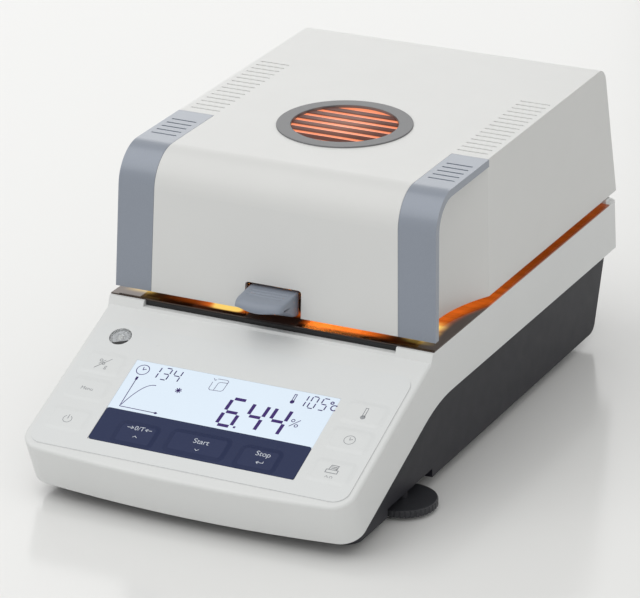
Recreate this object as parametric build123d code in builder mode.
from build123d import *
import os
from math import atan2, cos, degrees, radians, sin, sqrt, tan

# Halogen moisture analyzer.
# A heating lid with a ring lamp closes over a weighing base with a sloped control panel.
# Millimetres. +X is the instrument's right, the panel faces -Y, +Z is up, and the table is Z = 0.

os.makedirs("parts", exist_ok=True)

# Base, overall
body_width = 210.0
panel_run = 118.0
deck_run = 283.5
deck_height = 88.5
wall = 2.5
plate_thickness = 0.8
plate_run = 266.0
strip_height = 33.3
band_depth = 29.2
band_bend_radius = 97.0
front_bow = 5.2
corner_radius = 13.0
edge_radius = 2.0
back_flare = 4.1
back_corner_radius = 5.0
ground_gap = 7.0
seam_gap = 0.5
lip_height = 8.0
tub_wall = 2.5
tub_back_inset = 15.5
tub_back_lean = 15.5
tub_edge_radius = 8.0
running_gap = 0.3
screw_radius = 1.5

# Control panel, measured down the slope from the line where it would meet the plate's front edge
panel_angle = 22.8
panel_drop = 4.4
sill_out = 3.7
notch_width = 164.0
notch_height = 3.4
notch_depth = 6.0
overlay_top = 18.0
overlay_bottom = 119.5
overlay_margin = 4.0
overlay_thickness = 0.6
overlay_corner = 9.0
display_width = 131.0
display_height = 39.5
display_top = 44.0
key_strip_height = 26.0
key_gap = 0.25
key_rise = 0.35
key_travel = 0.4
key_cap = 1.6
key_corner = 2.0
key_height = 14.0
front_key_pitch = 39.0
front_key_row = 99.5
front_key_width = 22.0
start_key_width = 34.0
side_key_x = 84.2
side_key_width = 22.0
side_key_rows = (51.7, 73.2, 98.4)
plunger_radius = 2.0
level_x = -84.5
level_row = 28.4
level_radius = 6.5
level_depth = 9.0
board_thickness = 1.6
display_ledge = 3.0
display_depth = 8.0
module_width = 142.0
module_height = 56.0
board_post_x = 92.0
key_pocket = 1.2
key_strip_margin = 2.0

# Levelling feet
foot_x = 97.5
foot_setback = 24.7
wheel_radius = 20.3
wheel_thickness = 4.2
knurl_count = 40
knurl_radius = 0.9
pad_radius = 14.0
pad_thickness = 2.4
stud_radius = 2.5
stud_length = 21.0
boss_wall = 1.6
thread_gap = 0.05
foot_travel = 2.5
pocket_length = 61.0
pocket_height = 5.4
rear_foot_radius = 11.0
rear_foot_x = 80.0
rear_foot_run = 226.0

# Heating lid
lid_width = 204.6
lid_gap = 3.3
lid_front_run = 4.1
lid_back_run = 283.8
lid_front_lean = 2.9
lid_back_lean = 13.9
lid_side_lean = 0.85
lid_front_top = 88.1
lid_top_tilt = 0.72
lid_front_radius = 23.0
lid_back_radius = 12.0
lid_edge_radius = 1.6
lid_open_angle = 70.0
trim_width = 23.6
trim_overhang = 1.7
trim_lean = 1.6
trim_thickness = 4.5
trim_run = 82.2
trim_gap = 0.2
groove_count = 5
groove_pitch = 6.4
groove_last = 66.5
groove_width = 1.4
groove_depth = 0.7
groove_margin = 5.8
groove_length = 16.5
scoop_radius = 105.0
scoop_depth = 12.1
scoop_run = 35.0
vent_count = 15
vent_pitch = 6.65
vent_first = 89.8
vent_width = 1.4
vent_margin = 4.8
vent_length = 19.5
slot_width = 36.4
slot_height = 16.9
slot_corner = 2.0

# Window and heater, centred over the pan
pan_run = 100.7
window_radius = 32.2
bezel_radius = 40.9
bezel_rise = 0.8
bezel_collar = 2.0
glass_thickness = 3.0
grille_pitch = 9.2
grille_bar = 6.1
grille_thickness = 1.2
sheet = 1.0
liner_radius = 74.0
liner_rise = 20.6
reflector_radius = 66.0
reflector_height = 32.0
reflector_top = 60.0
reflector_neck = 34.5
lamp_radius = 50.0
lamp_tube_radius = 4.0
lamp_height = 46.0
lamp_gap_angle = 24.0
shield_glass_height = 30.0
shield_glass_radius = 62.0
clip_count = 4
clip_width = 8.0
flange_width = 6.0
socket_block = 10.0
sensor_height = 26.0
sensor_length = 14.0
arm_thickness = 3.0
socket_depth = 14.0
pin_length = 10.0
cell_mount_x = 0.0
sensor_radius = 4.0

# Weighing system, heights above the steel plate
pan_radius = 45.0
pan_depth = 6.5
pan_sheet = 0.6
pan_flange = 2.6
support_thickness = 2.0
support_arm_width = 8.0
spindle_radius = 3.5
spindle_drop = 40.0
shield_ring_radius = 55.0
shield_ring_height = 8.4
shield_ring_sheet = 2.0
dish_depth = 14.0
rail_depth = 6.5
rail_height = 2.4
post_radius = 3.0
post_height = 6.0
dish_flange = 6.0
dish_gap = 0.2
well_radius = 50.0
fork_thickness = 2.5
fork_inner_radius = 46.3
fork_outer_radius = 57.0
fork_opening = 60.0
handler_lift = 1.5
stem_width = 20.0
grip_width = 31.0
grip_reach = 18.5
grip_rear_top = 18.4
grip_front_top = 16.6
grip_lip_bottom = 8.8
grip_bottom = 4.0
grip_bow = 3.0
lip_radius = 1.5
rib_count = 4
rib_first = 2.0
rib_pitch = 3.6
rib_depth = 0.35
weighing_travel = 0.3
cell_width = 26.0
cell_height = 20.0
cell_length = 90.0

# Boards in the base
main_board_width = 176.0
main_board_length = 72.0
board_run = 42.0
chip_size = 22.0
supply_x = -54.0
supply_run = 175.0
supply_width = 66.0
supply_length = 84.0
supply_height = 22.0

# Lid hinge
hinge_x = 74.0
hinge_run = 279.0
hinge_height = 6.0
pin_radius = 2.0
knuckle_radius = 3.6
ear_width = 5.0
tongue_width = 12.0
side_gap = 0.3
pin_gap = 0.05

# Rear connectors
inlet_x = -58.0
inlet_width = 27.4
inlet_height = 20.0
socket_width = 24.2
socket_height = 16.6
port_x = 52.0
usb_x = 84.0
port_width = 30.0
port_height = 12.0
usb_width = 12.0
connector_drop = 57.0
connector_depth = 20.0
flange_thickness = 1.5

# Datum places
half_width = body_width / 2
front_y = -(panel_run + deck_run) / 2
plate_y = front_y + panel_run
back_y = plate_y + deck_run
slope = radians(panel_angle)
deck_z = deck_height - plate_thickness
strip_z = deck_height - strip_height
pan_y = plate_y + pan_run
panel_plane = Plane(
    origin=(0, plate_y, deck_height - panel_drop), x_dir=(1, 0, 0), z_dir=(0, -sin(slope), cos(slope))
)
ridge_row = panel_run / cos(slope)
bend_y = plate_y + (band_depth / cos(slope) + panel_drop - strip_height) / tan(slope)
foot_y = plate_y - foot_setback
rear_foot_y = plate_y + rear_foot_run
axis_y = plate_y + hinge_run
axis_z = deck_height + hinge_height
lid_bottom_z = deck_height + lid_gap
trim_outer_x = lid_width / 2 + trim_overhang
trim_inner_x = trim_outer_x - trim_width
groove_x = trim_outer_x - groove_margin - groove_length / 2
vent_x = lid_width / 2 - vent_margin - vent_length / 2
scoop_x = lid_width / 2 - scoop_depth
front_rate = lid_front_lean / (lid_front_top - lid_front_radius)
back_rate = -tan(radians(lid_back_lean))
top_rate = tan(radians(lid_top_tilt))
tray_z = deck_height + liner_rise
grille_slots = 7
board_top = wall + display_depth
board_length = 70.0
board_row = -display_top - board_length / 2 + 4
grip_back_y = plate_y + lid_front_run + 4
grip_front_y = plate_y - grip_reach
grip_fall = (grip_rear_top - grip_front_top) / (grip_back_y - grip_front_y)
reach = 3 * body_width


def finish(builder, name):
    """Labels a finished piece and writes it."""
    builder.part.label = name
    export_step(builder.part, f"parts/{name}.step")


def panel_z(y):
    """Height of the panel's plane at a place."""
    return deck_height - panel_drop + (y - plate_y) * tan(slope)


def band_z(y):
    """Height of the sloped lower edge of the white band."""
    return panel_z(y) - band_depth / cos(slope)


def cylinder_at(centre, radius, height):
    """A round bar that stands on a place, or hangs from it when its height is negative."""
    with BuildPart() as bar:
        with BuildSketch(Plane(centre)):
            Circle(radius)
        extrude(amount=height)
    return bar.part


def base_block(inset):
    """Everything inside the base's plan, which is drawn on the panel and runs square to it."""
    half = half_width - inset
    front = inset - ridge_row
    with BuildPart() as block:
        with BuildSketch(panel_plane) as plan:
            with BuildLine():
                ThreePointArc((-half, front + front_bow), (0, front), (half, front + front_bow))
                Polyline((half, front + front_bow), (half, reach), (-half, reach), (-half, front + front_bow))
            make_face()
            front_corners = plan.vertices().sort_by(Axis.Y)[:2]
            fillet(front_corners, radius=corner_radius - inset)
        extrude(amount=reach, both=True)
    return block.part


def seam_points(lift, front):
    """The line between the white and the dark housing, from back to front, raised by a lip."""
    bend = bend_y + lift * tan(slope / 2)
    return [(bend, strip_z + lift), (front, band_z(front) + lift)]


def front_at(z, inset):
    """Where the leaning front of the base stands at a height, on the centre line."""
    down = panel_z(plate_y - panel_run) - z
    return front_y + inset / cos(slope) + down * tan(slope)


def lean(y_top, y_low, z_top, z_low, z):
    """Place on a straight side at a height."""
    return y_top + (y_low - y_top) * (z_top - z) / (z_top - z_low)


def outer_back(z):
    """Back of the white housing at a height."""
    return lean(back_y - back_flare, back_y, deck_z, strip_z, z)


def tub_back(z):
    """Back of the dark housing at a height."""
    return lean(back_y - tub_back_inset, back_y - tub_back_inset - tub_back_lean, strip_z, ground_gap, z)


ledge_depth = wall + glass_thickness
neck_top = lid_front_top + (pan_run - window_radius) * top_rate - ledge_depth - sheet - running_gap
tray_half = trim_inner_x - 2 * wall
tray_front = plate_y + lid_front_run + front_rate * liner_rise + wall + running_gap
tray_back = plate_y + lid_back_run + (liner_rise + sheet - lid_gap) * back_rate - wall - arm_thickness - 2 * running_gap
arm_top = axis_z + 5 * knuckle_radius
plunger_length = board_top - key_cap + key_rise + overlay_thickness - key_travel - running_gap
lid_posts = [(x, plate_y + y) for x in (-68, 68) for y in (36, 245)]
hinge_span = tongue_width + 2 * ear_width + 4 * side_gap
notch_top = axis_z + knuckle_radius + 2 * side_gap
board_posts = [(x, board_row + y) for x in (-board_post_x, board_post_x) for y in (-board_length / 2 + 5, board_length / 2 - 5)]
back_tilt = atan2(tub_back_lean, strip_z - ground_gap)
connector_z = deck_height - connector_drop
back_plane = Plane(
    origin=(0, tub_back(connector_z), connector_z), x_dir=(-1, 0, 0), z_dir=(0, cos(back_tilt), -sin(back_tilt))
)
tub_posts = [
    (side * (main_board_width / 2 - 2 * post_radius), plate_y + board_run + end * (main_board_length / 2 - 2 * post_radius))
    for side in (-1, 1)
    for end in (-1, 1)
]
tub_posts += [
    (supply_x + side * (supply_width / 2 - 2 * post_radius), plate_y + supply_run + end * (supply_length / 2 - 2 * post_radius))
    for side in (-1, 1)
    for end in (-1, 1)
]

# Upper housing: the white shell with the sloped panel and the deck under the steel plate
sill_y = plate_y - sill_out
key_places = [(side * side_key_x, -row, side_key_width) for side in (-1, 1) for row in side_key_rows]
key_places.append((-front_key_pitch, -front_key_row - 0.5, front_key_width))
key_places.append((0, -front_key_row + 1.0, start_key_width))
key_places.append((front_key_pitch, -front_key_row - 0.5, front_key_width))
key_names = ["units_key", "menu_key", "power_key", "profile_key", "clock_key", "print_key"]
key_names += ["tare_key", "start_key", "stop_key"]
display_row = -display_top - display_height / 2
module_row = display_row
well_floor_z = deck_z - dish_depth - wall

with BuildPart() as upper_cavity:
    with BuildSketch(Plane.YZ):
        with BuildLine():
            Polyline(
                (-reach, panel_z(-reach) - wall / cos(slope)),
                (sill_y - wall * tan(slope), panel_z(sill_y - wall * tan(slope)) - wall / cos(slope)),
                (sill_y + wall, deck_z - wall),
                (outer_back(deck_z) - wall, deck_z - wall),
                (back_y - wall, strip_z + wall),
                (tub_back(strip_z) + seam_gap, strip_z + wall),
                (tub_back(strip_z) + seam_gap, -reach),
                (-reach, -reach),
                close=True,
            )
        make_face()
    extrude(amount=reach, both=True)
    add(base_block(wall), mode=Mode.INTERSECT)

with BuildPart() as upper_housing:
    with BuildSketch(Plane.YZ) as side:
        with BuildLine():
            Polyline(
                (plate_y, deck_z),
                (back_y - back_flare, deck_z),
                (back_y, strip_z),
                *seam_points(0, -reach),
                (-reach, panel_z(-reach)),
                (sill_y, panel_z(sill_y)),
                (sill_y + edge_radius, deck_z),
                close=True,
            )
        make_face()
        bend = side.vertices().sort_by_distance((bend_y, strip_z, 0))[0]
        fillet(bend, radius=band_bend_radius)
    extrude(amount=reach, both=True)
    add(base_block(0), mode=Mode.INTERSECT)
    back_corners = upper_housing.edges().filter_by(Plane.YZ).group_by(Axis.Y)[-1]
    fillet(back_corners, radius=back_corner_radius)
    panel_middle = panel_plane.from_local_coords((0, -ridge_row / 2, 0))
    panel_face = upper_housing.faces().sort_by_distance(panel_middle)[0]
    fillet(panel_face.edges().sort_by(Axis.Y)[:-1], radius=edge_radius)
    add(upper_cavity.part, mode=Mode.SUBTRACT)
    # Notch that lifts the plate's front edge clear
    with BuildSketch(Plane.XY.offset(deck_z)):
        with Locations((0, sill_y + edge_radius + notch_depth / 2)):
            Rectangle(notch_width + 2 * wall, notch_depth)
    extrude(amount=-notch_height - wall)
    with BuildSketch(Plane.XY.offset(deck_z)):
        with Locations((0, sill_y + notch_depth / 2)):
            Rectangle(notch_width, notch_depth)
    extrude(amount=-notch_height, mode=Mode.SUBTRACT)
    # Well for the pan, with its floor
    with BuildSketch(Plane.XY.offset(well_floor_z)):
        with Locations((0, pan_y)):
            Circle(well_radius + wall)
    extrude(amount=dish_depth + wall / 2)
    with BuildSketch(Plane.XY.offset(deck_z)):
        with Locations((0, pan_y)):
            Circle(well_radius)
    extrude(amount=-dish_depth, mode=Mode.SUBTRACT)
    with BuildSketch(Plane.XY.offset(well_floor_z)):
        with Locations((0, pan_y)):
            Circle(spindle_radius + 2 * wall)
    extrude(amount=2 * wall, mode=Mode.SUBTRACT)

    # Rail behind the plate
    with BuildSketch(Plane.XY.offset(deck_z)):
        with Locations((0, plate_y + plate_run + running_gap + rail_depth / 2)):
            Rectangle(body_width - 2 * wall, rail_depth)
    extrude(amount=plate_thickness + rail_height)
    # Posts for the keypad board
    with BuildSketch(panel_plane.offset(-wall / 2)):
        with Locations(*board_posts):
            Circle(post_radius)
    extrude(amount=wall / 2 - board_top)
    # Cup for the level
    with BuildSketch(panel_plane.offset(-wall / 2)):
        with Locations((level_x, -level_row)):
            Circle(level_radius + running_gap + wall / 2)
    extrude(amount=wall / 2 - level_depth)
    # Openings of the panel
    with BuildSketch(panel_plane):
        with Locations((0, display_row)):
            Rectangle(display_width - 2 * display_ledge, display_height - 2 * display_ledge)
    extrude(amount=-2 * wall, mode=Mode.SUBTRACT)
    with BuildSketch(panel_plane):
        with Locations(*[(x, row) for x, row, width in key_places]):
            Circle(plunger_radius + running_gap)
    extrude(amount=-2 * wall, mode=Mode.SUBTRACT)
    with BuildSketch(panel_plane):
        for x, row, width in key_places:
            with Locations((x, row)):
                RectangleRounded(width + 2 * key_gap, key_height + 2 * key_gap, key_corner + key_gap)
    extrude(amount=-key_pocket, mode=Mode.SUBTRACT)
    with BuildSketch(panel_plane):
        with Locations((level_x, -level_row)):
            Circle(level_radius + running_gap)
    extrude(amount=-level_depth, mode=Mode.SUBTRACT)

finish(upper_housing, "base_upper_housing")

# Lower housing: the dark tub
lip_front = plate_y + (ground_gap - lip_height - band_z(plate_y)) / tan(slope)
with BuildPart() as tub_cavity:
    with BuildSketch(Plane.YZ):
        with BuildLine():
            Polyline(
                (tub_back(ground_gap + tub_wall) - tub_wall, ground_gap + tub_wall),
                (tub_back(strip_z) - tub_wall, strip_z),
                (tub_back(strip_z) - tub_wall, reach),
                (-reach, reach),
                (-reach, ground_gap + tub_wall),
                close=True,
            )
        make_face()
    extrude(amount=reach, both=True)
    add(base_block(wall + seam_gap + tub_wall), mode=Mode.INTERSECT)
    for side in (-1, 1):
        with BuildSketch(Plane.XY.offset(ground_gap)):
            with Locations((side * foot_x, foot_y)):
                Rectangle(2 * (wheel_radius + running_gap + tub_wall), pocket_length + 2 * tub_wall)
        extrude(amount=pocket_height + tub_wall, mode=Mode.SUBTRACT)

with BuildPart() as lower_housing:
    with BuildSketch(Plane.YZ) as side_view:
        with BuildLine():
            Polyline(
                (tub_back(ground_gap), ground_gap),
                (tub_back(strip_z), strip_z),
                (tub_back(strip_z), strip_z + lip_height),
                *seam_points(lip_height, lip_front),
                close=True,
            )
        make_face()
        fillet(side_view.vertices().sort_by_distance((tub_back(ground_gap), ground_gap, 0))[0], radius=tub_edge_radius)
    extrude(amount=reach, both=True)
    add(base_block(wall + seam_gap), mode=Mode.INTERSECT)
    add(tub_cavity.part, mode=Mode.SUBTRACT)
    for side in (-1, 1):
        with BuildSketch(Plane.XY.offset(ground_gap)):
            with Locations((side * foot_x, foot_y)):
                Rectangle(2 * (wheel_radius + running_gap), pocket_length)
        extrude(amount=pocket_height, mode=Mode.SUBTRACT)
        # Threaded boss over the wheel
        with BuildSketch(Plane.XY.offset(ground_gap + pocket_height)):
            with Locations((side * foot_x, foot_y)):
                Circle(stud_radius + thread_gap + boss_wall)
        extrude(amount=stud_length)
        with BuildSketch(Plane.XY.offset(ground_gap + pocket_height)):
            with Locations((side * foot_x, foot_y)):
                Circle(stud_radius + thread_gap)
        extrude(amount=stud_length, mode=Mode.SUBTRACT)
    # Posts for the boards
    with BuildSketch(Plane.XY.offset(ground_gap + tub_wall / 2)):
        with Locations(*tub_posts):
            Circle(post_radius)
    extrude(amount=tub_wall / 2 + post_height)
    # Holes for the connectors
    with BuildSketch(back_plane):
        with Locations((-inlet_x, 0)):
            Rectangle(inlet_width + 2 * key_gap, inlet_height + 2 * key_gap)
        with Locations((-port_x, 0)):
            Rectangle(port_width + 2 * key_gap, port_height + 2 * key_gap)
        with Locations((-usb_x, 0)):
            Rectangle(usb_width + 2 * key_gap, usb_width + 2 * key_gap)
    extrude(amount=2 * tub_wall, both=True, mode=Mode.SUBTRACT)

finish(lower_housing, "base_lower_housing")

with BuildPart() as rear_feet:
    with BuildSketch():
        with Locations((-rear_foot_x, rear_foot_y), (rear_foot_x, rear_foot_y)):
            Circle(rear_foot_radius)
    extrude(amount=ground_gap)
finish(rear_feet, "rear_feet")

# Steel plate, dish and shield ring
with BuildPart() as shield_plate:
    with BuildSketch(Plane.XY.offset(deck_z)):
        with Locations((0, plate_y + plate_run / 2)):
            Rectangle(body_width, plate_run)
        with Locations((0, pan_y)):
            Circle(well_radius, mode=Mode.SUBTRACT)
    extrude(amount=plate_thickness)
finish(shield_plate, "heat_shield_plate")


def turned(points):
    """A turned piece about the pan's axis, from radius and height above the deck."""
    with BuildPart() as piece:
        with BuildSketch(Plane.XZ.offset(-pan_y)):
            with BuildLine():
                Polyline(*[(r, deck_height + z) for r, z in points], close=True)
            make_face()
        revolve(axis=Axis((0, pan_y, 0), (0, 0, 1)))
    return piece.part


dish_floor = -plate_thickness - dish_depth
dish_radius = well_radius - dish_gap
with BuildPart() as dish:
    add(
        turned(
            [
                (spindle_radius + 2 * running_gap, dish_floor),
                (dish_radius, dish_floor),
                (dish_radius, 0),
                (well_radius + dish_flange, 0),
                (well_radius + dish_flange, pan_sheet),
                (dish_radius - pan_sheet, pan_sheet),
                (dish_radius - pan_sheet, dish_floor + pan_sheet),
                (spindle_radius + 2 * running_gap, dish_floor + pan_sheet),
            ]
        )
    )
finish(dish, "chamber_dish")

with BuildPart() as shield_ring:
    with BuildSketch(Plane.XY.offset(deck_height + pan_sheet)):
        with Locations((0, pan_y)):
            Circle(shield_ring_radius)
            Circle(shield_ring_radius - shield_ring_sheet, mode=Mode.SUBTRACT)
    extrude(amount=shield_ring_height - pan_sheet)
finish(shield_ring, "draft_shield_ring")

# Pan, its support and the handler that lifts it
fork_top = shield_ring_height + fork_thickness
pan_rim = fork_top + handler_lift + weighing_travel + running_gap + pan_sheet
pan_floor = pan_rim - pan_depth
with BuildPart() as sample_pan:
    add(
        turned(
            [
                (0, pan_floor),
                (pan_radius, pan_floor),
                (pan_radius, pan_rim - pan_sheet),
                (pan_radius + pan_flange, pan_rim - pan_sheet),
                (pan_radius + pan_flange, pan_rim),
                (pan_radius - pan_sheet, pan_rim),
                (pan_radius - pan_sheet, pan_floor + pan_sheet),
                (0, pan_floor + pan_sheet),
            ]
        )
    )
    foot_edges = sample_pan.edges().filter_by(GeomType.CIRCLE).group_by(Axis.Z)[0]
    fillet(foot_edges, radius=pan_sheet)
finish(sample_pan, "sample_pan")

with BuildPart() as pan_support:
    with BuildSketch(Plane.XY.offset(deck_height + pan_floor - support_thickness)):
        with Locations((0, pan_y)):
            Circle(3 * spindle_radius)
            with PolarLocations(0, 3, start_angle=90):
                Rectangle(pan_radius - support_arm_width, support_arm_width, align=(Align.MIN, Align.CENTER))
    extrude(amount=support_thickness)
    with BuildSketch(Plane.XY.offset(deck_height + pan_floor - support_thickness)):
        with Locations((0, pan_y)):
            Circle(spindle_radius)
    extrude(amount=-spindle_drop)
finish(pan_support, "pan_support")

with BuildPart() as pan_handler:
    with BuildSketch(Plane.XY.offset(deck_height + shield_ring_height)):
        with Locations((0, pan_y)):
            Circle(fork_outer_radius)
            Circle(fork_inner_radius, mode=Mode.SUBTRACT)
            with Locations((0, fork_outer_radius)):
                Rectangle(fork_opening, fork_outer_radius, mode=Mode.SUBTRACT)
        with Locations((0, (plate_y + lid_front_run + pan_y - fork_inner_radius - pan_flange) / 2)):
            Rectangle(stem_width, pan_run - lid_front_run - fork_inner_radius - pan_flange)
    extrude(amount=fork_thickness)
    with BuildSketch(Plane.YZ):
        with BuildLine():
            Polyline(
                (grip_back_y, deck_height + grip_bottom),
                (grip_back_y, deck_height + grip_rear_top),
                (grip_front_y, deck_height + grip_front_top),
                (grip_front_y, deck_height + grip_lip_bottom),
                (plate_y, deck_height + grip_bottom),
                close=True,
            )
        make_face()
    extrude(amount=grip_width / 2, both=True)
    with BuildSketch(Plane.XY.offset(deck_height)) as grip_plan:
        with BuildLine():
            ThreePointArc(
                (-grip_width / 2, grip_front_y + grip_bow), (0, grip_front_y), (grip_width / 2, grip_front_y + grip_bow)
            )
            Polyline(
                (grip_width / 2, grip_front_y + grip_bow),
                (grip_width / 2, grip_back_y),
                (fork_outer_radius, grip_back_y),
                (fork_outer_radius, pan_y + fork_outer_radius),
                (-fork_outer_radius, pan_y + fork_outer_radius),
                (-fork_outer_radius, grip_back_y),
                (-grip_width / 2, grip_back_y),
                (-grip_width / 2, grip_front_y + grip_bow),
            )
        make_face()
        fillet(grip_plan.vertices().sort_by(Axis.Y)[:2], radius=grip_bow)
    extrude(amount=2 * slot_height, mode=Mode.INTERSECT)
    # Fine grooves that leave ribs across the grip
    for index in range(rib_count):
        run = rib_first + index * rib_pitch
        with BuildSketch(Plane.YZ):
            with Locations((plate_y - run, deck_height + grip_rear_top - (run + grip_back_y - plate_y) * grip_fall)):
                Circle(rib_depth)
        extrude(amount=grip_width / 2 - 2 * grip_bow, both=True, mode=Mode.SUBTRACT)
    nose = pan_handler.edges().filter_by(lambda e: e.center().Y < grip_front_y + grip_bow).group_by(Axis.Z)
    fillet(nose[-1], radius=lip_radius)
finish(pan_handler, "pan_handler")



# Heating lid

def lid_top(y):
    """Height of the lid's top at a place."""
    return deck_height + lid_front_top + (y - plate_y) * top_rate


def lid_view(inset, low):
    """Side view of the lid, drawn inset from its skin and open down to a low height."""
    points = []
    for foot, rate, sign in ((plate_y + lid_front_run, front_rate, 1), (plate_y + lid_back_run, back_rate, -1)):
        start = foot + sign * inset
        roof = lid_top(start) - inset
        top = start + (roof - lid_bottom_z) * rate / (1 - rate * top_rate)
        points.append([(start + (low - lid_bottom_z) * rate, low), (top, lid_top(top) - inset)])
    front, back = points
    with BuildSketch(Plane.YZ) as view:
        with BuildLine():
            Polyline(front[0], front[1], back[1], back[0], close=True)
        make_face()
        fillet(view.vertices().sort_by_distance((*front[1], 0))[0], radius=lid_front_radius - inset)
        fillet(view.vertices().sort_by_distance((*back[1], 0))[0], radius=lid_back_radius - inset)
    return view.sketch


def arch_block(inner_x, outer_x, end_y):
    """Both upright slices of the lid's front that the trims take up."""
    rise = 2 * lid_front_top
    with BuildPart() as block:
        with BuildSketch(Plane.XZ.offset(-end_y)):
            for side in (-1, 1):
                with BuildLine():
                    Polyline(
                        (side * inner_x, lid_bottom_z - rise),
                        (side * outer_x, lid_bottom_z - rise),
                        (side * (outer_x - 2 * rise * tan(radians(trim_lean))), lid_bottom_z + rise),
                        (side * (inner_x - 2 * rise * tan(radians(trim_lean))), lid_bottom_z + rise),
                        close=True,
                    )
                make_face()
        extrude(amount=reach)
    return block.part


def lid_block(inset, low):
    """The lid's outer form, or the form of its hollow when it is drawn inset."""
    half = lid_width / 2 - inset
    side_rate = tan(radians(lid_side_lean))
    with BuildPart() as block:
        extrude(lid_view(inset, low), amount=reach, both=True)
        with BuildSketch(Plane.XZ):
            with BuildLine():
                Polyline(
                    (-half - (lid_bottom_z - low) * side_rate, low),
                    (half + (lid_bottom_z - low) * side_rate, low),
                    (half - 2 * lid_front_top * side_rate, lid_bottom_z + 2 * lid_front_top),
                    (-half + 2 * lid_front_top * side_rate, lid_bottom_z + 2 * lid_front_top),
                    close=True,
                )
            make_face()
        extrude(amount=reach, both=True, mode=Mode.INTERSECT)
        # Seats of the two trims
        with BuildPart(mode=Mode.PRIVATE) as seats:
            add(arch_block(arch_foot_x - trim_gap - inset, reach, plate_y + trim_run + trim_gap + inset))
            extrude(lid_view(trim_thickness + trim_gap + inset, lid_bottom_z - reach), amount=reach, both=True, mode=Mode.SUBTRACT)
        add(seats.part, mode=Mode.SUBTRACT)
        # Scooped sides behind the trims
        with BuildSketch(Plane.XY.offset(low)):
            for side in (-1, 1):
                with Locations((side * (scoop_x + scoop_radius), plate_y + scoop_run)):
                    Circle(scoop_radius + inset)
                with Locations((side * (scoop_x - inset + scoop_radius), plate_y + scoop_run - scoop_radius)):
                    Rectangle(2 * scoop_radius, 2 * scoop_radius)
        extrude(amount=reach, mode=Mode.SUBTRACT)
    return block.part


arch_foot_x = trim_inner_x + 2 * lid_front_top * tan(radians(trim_lean))
arch_outer_x = trim_outer_x + 2 * lid_front_top * tan(radians(trim_lean))
top_plane = Plane(
    origin=(0, pan_y, lid_top(pan_y)),
    x_dir=(1, 0, 0),
    z_dir=(0, -sin(radians(lid_top_tilt)), cos(radians(lid_top_tilt))),
)
collar_radius = window_radius + bezel_collar
with BuildPart() as lid_shell:
    add(lid_block(0, lid_bottom_z))
    add(lid_block(wall, lid_bottom_z - wall), mode=Mode.SUBTRACT)
    # Window hole
    with BuildSketch(top_plane):
        Circle(collar_radius + running_gap)
    extrude(amount=2 * wall, both=True, mode=Mode.SUBTRACT)
    # Cut-out for the handler's grip
    with BuildSketch(Plane.XZ.offset(-plate_y)) as slot:
        with Locations((0, lid_bottom_z + slot_height / 2 - slot_corner / 2)):
            Rectangle(slot_width, slot_height + slot_corner)
        fillet(slot.vertices().group_by(Axis.Y)[-1], radius=slot_corner)
    extrude(amount=-lid_front_run - 3 * wall, mode=Mode.SUBTRACT)
    # Vents
    with BuildSketch(top_plane):
        for side in (-1, 1):
            for index in range(vent_count):
                with Locations((side * vent_x, vent_first + index * vent_pitch - pan_run)):
                    Rectangle(vent_length, vent_width)
    extrude(amount=2 * wall, both=True, mode=Mode.SUBTRACT)
    # Notches for the hinges
    with BuildSketch(Plane.XZ.offset(-back_y - wall)):
        with Locations((-hinge_x, notch_top / 2 + lid_bottom_z / 2), (hinge_x, notch_top / 2 + lid_bottom_z / 2)):
            Rectangle(hinge_span, notch_top - lid_bottom_z)
    extrude(amount=4 * wall, mode=Mode.SUBTRACT)
    # Posts that carry the heater tray
    for x, y in lid_posts:
        with BuildSketch(Plane.XY.offset(tray_z + sheet)):
            with Locations((x, y)):
                Circle(post_radius)
        extrude(amount=lid_top(y) - wall / 2 - tray_z - sheet)
finish(lid_shell, "lid_shell")

with BuildPart() as arches:
    add(arch_block(arch_foot_x, arch_outer_x, plate_y + trim_run))
    extrude(lid_view(0, lid_bottom_z), amount=reach, both=True, mode=Mode.INTERSECT)
    extrude(lid_view(trim_thickness, lid_bottom_z - wall), amount=reach, both=True, mode=Mode.SUBTRACT)
    with BuildSketch(Plane.XY.offset(lid_top(plate_y + groove_last) - groove_depth)):
        for side in (-1, 1):
            for index in range(groove_count):
                with Locations(
                    (side * groove_x, plate_y + groove_last - index * groove_pitch)
                ):
                    Rectangle(groove_length, groove_width)
    extrude(amount=wall, mode=Mode.SUBTRACT)

for name, arch in zip(("left_trim", "right_trim"), arches.solids().sort_by(Axis.X)):
    with BuildPart() as trim:
        add(arch)
    finish(trim, name)

# Window in the lid's top
with BuildPart() as bezel:
    with BuildSketch(top_plane):
        Circle(bezel_radius)
        Circle(window_radius, mode=Mode.SUBTRACT)
    extrude(amount=bezel_rise)
    with BuildSketch(top_plane):
        Circle(collar_radius)
        Circle(window_radius, mode=Mode.SUBTRACT)
    extrude(amount=-ledge_depth)
    with BuildSketch(top_plane.offset(-ledge_depth)):
        Circle(collar_radius)
        Circle(window_radius - bezel_collar, mode=Mode.SUBTRACT)
    extrude(amount=-sheet)
    fillet(bezel.edges().filter_by(GeomType.CIRCLE).group_by(Axis.Z)[-1], radius=bezel_rise / 2)
finish(bezel, "window_bezel")

with BuildPart() as window_glass:
    with BuildSketch(top_plane.offset(-ledge_depth)):
        Circle(window_radius - trim_gap)
    extrude(amount=glass_thickness)
finish(window_glass, "window_glass")

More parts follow.
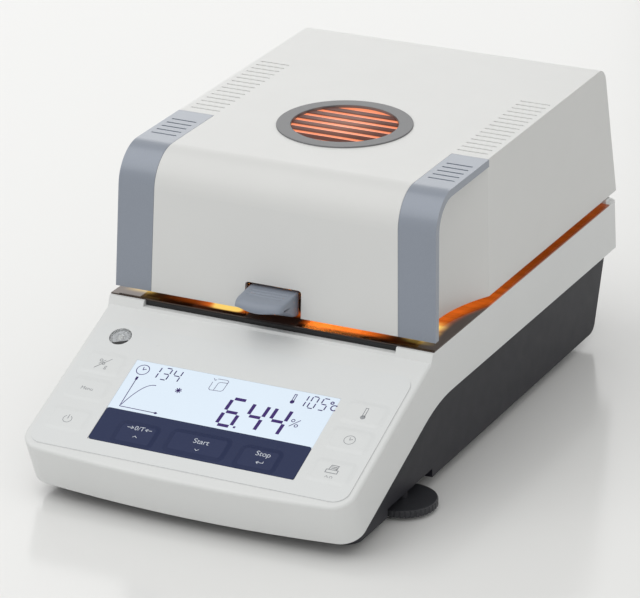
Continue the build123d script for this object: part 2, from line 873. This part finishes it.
grille_plane = top_plane.offset(glass_thickness - ledge_depth)
with BuildPart() as grille_slits:
    with BuildSketch(grille_plane):
        with GridLocations(0, grille_pitch, 1, grille_slots):
            Rectangle(2 * window_radius, grille_pitch - grille_bar)
        Circle(window_radius - trim_gap - bezel_collar, mode=Mode.INTERSECT)
    extrude(amount=grille_thickness)
with BuildPart() as grille:
    with BuildSketch(grille_plane):
        Circle(window_radius - trim_gap)
    extrude(amount=grille_thickness)
    add(grille_slits.part, mode=Mode.SUBTRACT)
finish(grille, "window_grille")

# Heater under the lid
with BuildPart() as tray:
    with BuildSketch(Plane.XY.offset(tray_z)):
        with BuildLine():
            Polyline(
                (-tray_half, tray_front),
                (tray_half, tray_front),
                (tray_half, tray_back),
                (-tray_half, tray_back),
                close=True,
            )
        make_face()
        with Locations((0, pan_y)):
            Circle(reflector_radius, mode=Mode.SUBTRACT)
    extrude(amount=sheet)
finish(tray, "heater_tray")

reflector_foot = liner_rise + sheet
with BuildPart() as reflector:
    add(
        turned(
            [
                (reflector_radius, reflector_foot),
                (reflector_radius + flange_width, reflector_foot),
                (reflector_radius + flange_width, reflector_foot + sheet),
                (reflector_radius + sheet, reflector_foot + sheet),
                (reflector_radius + sheet, reflector_foot + reflector_height),
                (reflector_neck + sheet, reflector_top),
                (reflector_neck + sheet, neck_top),
                (reflector_neck, neck_top),
                (reflector_neck, reflector_top - sheet),
                (reflector_radius, reflector_foot + reflector_height - sheet),
            ]
        )
    )
finish(reflector, "reflector")

with BuildPart() as heating_ring:
    with BuildSketch(Plane.XZ.offset(-pan_y)):
        with Locations((lamp_radius, deck_height + lamp_height)):
            Circle(lamp_tube_radius)
    revolve(axis=Axis((0, pan_y, 0), (0, 0, 1)), revolution_arc=360 - lamp_gap_angle)
lamp = heating_ring.part.rotate(Axis((0, pan_y, 0), (0, 0, 1)), 90 + lamp_gap_angle / 2)
with BuildPart() as heating_ring:
    add(lamp)
finish(heating_ring, "heating_ring")

with BuildPart() as lamp_sockets:
    with BuildSketch(Plane.XY.offset(deck_height + lamp_height - socket_block / 2)):
        for side in (-1, 1):
            with Locations((side * socket_block * 0.7, pan_y + lamp_radius - lamp_tube_radius)):
                Rectangle(socket_block, reflector_radius - lamp_radius + lamp_tube_radius, align=(Align.CENTER, Align.MIN))
    extrude(amount=socket_block)
    with BuildSketch(Plane.XY.offset(0)):
        with Locations((0, pan_y)):
            Circle(reflector_radius)
    extrude(amount=2 * deck_height, mode=Mode.INTERSECT)
    add(lamp, mode=Mode.SUBTRACT)
finish(lamp_sockets, "lamp_sockets")

with BuildPart() as shield_glass:
    with BuildSketch(Plane.XY.offset(deck_height + shield_glass_height)):
        with Locations((0, pan_y)):
            Circle(shield_glass_radius)
    extrude(amount=glass_thickness)
finish(shield_glass, "heater_glass")

with BuildPart() as clips:
    with BuildSketch(Plane.XY.offset(deck_height + shield_glass_height)):
        with Locations((0, pan_y)):
            with PolarLocations(0, clip_count, start_angle=45):
                Rectangle(reflector_radius, clip_width, align=(Align.MIN, Align.CENTER))
            Circle(shield_glass_radius - clip_width / 2, mode=Mode.SUBTRACT)
            Circle(reflector_radius, mode=Mode.INTERSECT)
    extrude(amount=-sheet)
finish(clips, "glass_clips")

with BuildPart() as sensor:
    with BuildSketch(Plane.XZ.offset(reflector_radius - pan_y)):
        with Locations((0, deck_height + sensor_height)):
            Circle(sensor_radius)
    extrude(amount=-sensor_length)
    with BuildSketch(Plane.XY):
        with Locations((0, pan_y)):
            Circle(reflector_radius)
    extrude(amount=2 * deck_height, mode=Mode.INTERSECT)
finish(sensor, "temperature_sensor")

# Lid hinge
back_inner = plate_y + lid_back_run - wall
with BuildPart() as hinge_arms:
    for side in (-1, 1):
        with BuildSketch(Plane.YZ.offset(side * hinge_x - tongue_width / 2)):
            with Locations((axis_y, axis_z)):
                Circle(knuckle_radius)
            with BuildLine():
                Polyline(
                    (axis_y, axis_z - knuckle_radius),
                    (axis_y, axis_z),
                    (axis_y + knuckle_radius, axis_z),
                    (back_inner + (notch_top - lid_bottom_z) * back_rate, notch_top),
                    (back_inner + (arm_top - lid_bottom_z) * back_rate, arm_top),
                    (back_inner + (arm_top - lid_bottom_z) * back_rate - arm_thickness, arm_top),
                    (axis_y - knuckle_radius, axis_z),
                    close=True,
                )
            make_face()
            with Locations((axis_y, axis_z)):
                Circle(pin_radius + pin_gap, mode=Mode.SUBTRACT)
        extrude(amount=tongue_width)
finish(hinge_arms, "hinge_arms")

ear_offset = (tongue_width + ear_width) / 2 + side_gap
with BuildPart() as hinge_brackets:
    for x in (-hinge_x - ear_offset, -hinge_x + ear_offset, hinge_x - ear_offset, hinge_x + ear_offset):
        with BuildSketch(Plane.YZ.offset(x - ear_width / 2)):
            with Locations((axis_y, axis_z)):
                Circle(knuckle_radius)
            with Locations((axis_y - knuckle_radius, deck_z)):
                Rectangle(outer_back(deck_z) - axis_y + knuckle_radius, axis_z - deck_z, align=(Align.MIN, Align.MIN))
            with Locations((axis_y, axis_z)):
                Circle(pin_radius, mode=Mode.SUBTRACT)
        extrude(amount=ear_width)
finish(hinge_brackets, "hinge_brackets")

with BuildPart() as hinge_pins:
    for side in (-1, 1):
        with BuildSketch(Plane.YZ.offset(side * hinge_x - hinge_span / 2 + side_gap)):
            with Locations((axis_y, axis_z)):
                Circle(pin_radius)
        extrude(amount=hinge_span - 2 * side_gap)
finish(hinge_pins, "hinge_pins")

# Control panel
overlay_half = half_width - overlay_margin
overlay_middle = -(overlay_top + overlay_bottom) / 2
strip_row = -display_top - display_height - key_strip_height / 2
with BuildPart() as overlay:
    with BuildSketch(panel_plane):
        with Locations((0, overlay_middle)):
            RectangleRounded(2 * overlay_half, overlay_bottom - overlay_top, overlay_corner)
        with Locations((0, display_row)):
            Rectangle(display_width + 2 * key_gap, display_height + 2 * key_gap, mode=Mode.SUBTRACT)
        with Locations((0, strip_row)):
            Rectangle(display_width + 2 * key_gap, key_strip_height + 2 * key_gap, mode=Mode.SUBTRACT)
        for x, row, width in key_places:
            with Locations((x, row)):
                RectangleRounded(
                    width + 2 * key_gap, key_height + 2 * key_gap, key_corner + key_gap, mode=Mode.SUBTRACT
                )
        with Locations((level_x, -level_row)):
            Circle(level_radius + running_gap, mode=Mode.SUBTRACT)
    extrude(amount=overlay_thickness)
finish(overlay, "control_overlay")

with BuildPart() as key_strip:
    with BuildSketch(panel_plane):
        with Locations((0, strip_row)):
            RectangleRounded(display_width, key_strip_height, key_corner)
        for x, row, width in key_places[6:]:
            with Locations((x, row)):
                RectangleRounded(
                    width + 2 * key_gap, key_height + 2 * key_gap, key_corner + key_gap, mode=Mode.SUBTRACT
                )
    extrude(amount=overlay_thickness)
finish(key_strip, "key_strip")

with BuildPart() as display_window:
    with BuildSketch(panel_plane):
        with Locations((0, display_row)):
            Rectangle(display_width, display_height)
    extrude(amount=overlay_thickness)
finish(display_window, "display_window")

with BuildPart() as display_module:
    with BuildSketch(panel_plane.offset(-wall)):
        with Locations((0, display_row)):
            Rectangle(module_width, module_height)
    extrude(amount=-display_depth)
finish(display_module, "display_module")

with BuildPart() as keypad_board:
    with BuildSketch(panel_plane.offset(-board_top)):
        with Locations((0, board_row)):
            Rectangle(2 * board_post_x + 3 * post_radius, board_length)
    extrude(amount=-board_thickness)
finish(keypad_board, "keypad_board")

for name, (x, row, width) in zip(key_names, key_places):
    with BuildPart() as key:
        with BuildSketch(panel_plane.offset(overlay_thickness + key_rise - key_cap)):
            with Locations((x, row)):
                RectangleRounded(width, key_height, key_corner)
        extrude(amount=key_cap)
        chamfer(key.faces().sort_by(Axis((0, 0, 0), panel_plane.z_dir))[-1].edges(), length=key_rise / 2)
        with BuildSketch(panel_plane.offset(overlay_thickness + key_rise - key_cap)):
            with Locations((x, row)):
                Circle(plunger_radius)
        extrude(amount=-plunger_length)
    finish(key, name)

with BuildPart() as level_vial:
    with BuildSketch(panel_plane.offset(-level_depth)):
        with Locations((level_x, -level_row)):
            Circle(level_radius)
    extrude(amount=level_depth)
    with BuildSketch(panel_plane.offset(sheet - level_depth)):
        with Locations((level_x, -level_row)):
            Circle(level_radius - sheet)
    extrude(amount=level_depth, mode=Mode.SUBTRACT)
finish(level_vial, "level_vial")

with BuildPart() as level_lens:
    with BuildSketch(panel_plane):
        with Locations((level_x, -level_row)):
            Circle(level_radius)
    extrude(amount=overlay_thickness)
finish(level_lens, "level_lens")

# Inside the base
tub_floor = ground_gap + tub_wall
board_z = tub_floor + post_height
with BuildPart() as main_board:
    with BuildSketch(Plane.XY.offset(board_z)):
        with Locations((0, plate_y + board_run)):
            Rectangle(main_board_width, main_board_length)
    extrude(amount=board_thickness)
    with BuildSketch(Plane.XY.offset(board_z + board_thickness)):
        with Locations((0, plate_y + board_run)):
            Rectangle(chip_size, chip_size)
        with Locations((-main_board_width / 4, plate_y + board_run + chip_size)):
            Rectangle(2 * chip_size, chip_size / 2)
    extrude(amount=4 * board_thickness)
finish(main_board, "main_board")

with BuildPart() as power_supply:
    with BuildSketch(Plane.XY.offset(board_z)):
        with Locations((supply_x, plate_y + supply_run)):
            Rectangle(supply_width, supply_length)
    extrude(amount=board_thickness)
    with BuildSketch(Plane.XY.offset(board_z + board_thickness)):
        with Locations((supply_x - supply_width / 6, plate_y + supply_run)):
            Rectangle(supply_width / 2, supply_length / 2)
        with Locations((supply_x + supply_width / 4, plate_y + supply_run)):
            Rectangle(supply_width / 4, supply_length / 3)
    extrude(amount=supply_height)
finish(power_supply, "power_supply")

cell_top = deck_height + pan_floor - support_thickness - spindle_drop - weighing_travel - running_gap
with BuildPart() as weighing_cell:
    with BuildSketch(Plane.XY.offset(cell_top - cell_height)):
        with Locations((0, pan_y - cell_width / 2)):
            Rectangle(cell_width, cell_length, align=(Align.CENTER, Align.MIN))
    extrude(amount=cell_height)
    with BuildSketch(Plane.YZ):
        with Locations((pan_y - cell_width / 2 + cell_length / 2, cell_top - cell_height / 2)):
            SlotOverall(cell_length * 0.7, cell_height * 0.5)
    extrude(amount=cell_width, both=True, mode=Mode.SUBTRACT)
finish(weighing_cell, "weighing_cell")

with BuildPart() as cell_mount:
    with BuildSketch(Plane.XY.offset(tub_floor)):
        with Locations((cell_mount_x, pan_y - cell_width / 2 + cell_length)):
            Rectangle(cell_width + 14, cell_width, align=(Align.CENTER, Align.MAX))
    extrude(amount=cell_top - cell_height - tub_floor)
finish(cell_mount, "cell_mount")

with BuildPart() as power_inlet:
    with BuildSketch(back_plane):
        with Locations((-inlet_x, 0)):
            Rectangle(inlet_width + 4 * flange_thickness, inlet_height + 4 * flange_thickness)
    extrude(amount=flange_thickness)
    with BuildSketch(back_plane):
        with Locations((-inlet_x, 0)):
            Rectangle(inlet_width, inlet_height)
    extrude(amount=-connector_depth)
    with BuildSketch(back_plane.offset(flange_thickness)):
        with Locations((-inlet_x, 0)):
            Rectangle(socket_width, socket_height)
    extrude(amount=-socket_depth, mode=Mode.SUBTRACT)
    with BuildSketch(back_plane.offset(flange_thickness - socket_depth)):
        with Locations((-inlet_x - 7, 3), (-inlet_x + 7, 3), (-inlet_x, -3)):
            Rectangle(2, 4)
    extrude(amount=pin_length)
finish(power_inlet, "power_inlet")

with BuildPart() as serial_port:
    with BuildSketch(back_plane):
        with Locations((-port_x, 0)):
            Rectangle(port_width + 3 * flange_thickness, port_height)
    extrude(amount=flange_thickness)
    with BuildSketch(back_plane):
        with Locations((-port_x, 0)):
            Rectangle(port_width, port_height)
    extrude(amount=-connector_depth / 2)
    with BuildSketch(back_plane.offset(flange_thickness)):
        with Locations((-port_x, 0)):
            RectangleRounded(port_width - 10, port_height - 3, key_corner)
    extrude(amount=2 * flange_thickness)
finish(serial_port, "serial_port")

with BuildPart() as usb_port:
    with BuildSketch(back_plane):
        with Locations((-usb_x, 0)):
            Rectangle(usb_width + 2 * flange_thickness, usb_width + 2 * flange_thickness)
    extrude(amount=flange_thickness)
    with BuildSketch(back_plane):
        with Locations((-usb_x, 0)):
            Rectangle(usb_width, usb_width)
    extrude(amount=-connector_depth / 2)
finish(usb_port, "usb_port")

# Levelling feet
for name, side in (("left", -1), ("right", 1)):
    with BuildPart() as foot_pad:
        with BuildSketch():
            with Locations((side * foot_x, foot_y)):
                Circle(pad_radius)
        extrude(amount=pad_thickness - running_gap)
    finish(foot_pad, name + "_foot_pad")

    with BuildPart() as thumbwheel:
        with BuildSketch(Plane.XY.offset(pad_thickness)):
            with Locations((side * foot_x, foot_y)):
                Circle(wheel_radius)
        extrude(amount=wheel_thickness)
        fillet(thumbwheel.edges().group_by(Axis.Z)[-1], radius=wheel_thickness / 4)
        with BuildSketch(Plane.XY.offset(pad_thickness)):
            with Locations((side * foot_x, foot_y)):
                with PolarLocations(wheel_radius + knurl_radius / 2, knurl_count):
                    Circle(knurl_radius)
        extrude(amount=wheel_thickness, mode=Mode.SUBTRACT)
        with BuildSketch(Plane.XY.offset(pad_thickness + wheel_thickness / 2)):
            with Locations((side * foot_x, foot_y)):
                Circle(stud_radius)
        extrude(amount=stud_length)
    finish(thumbwheel, name + "_thumbwheel")
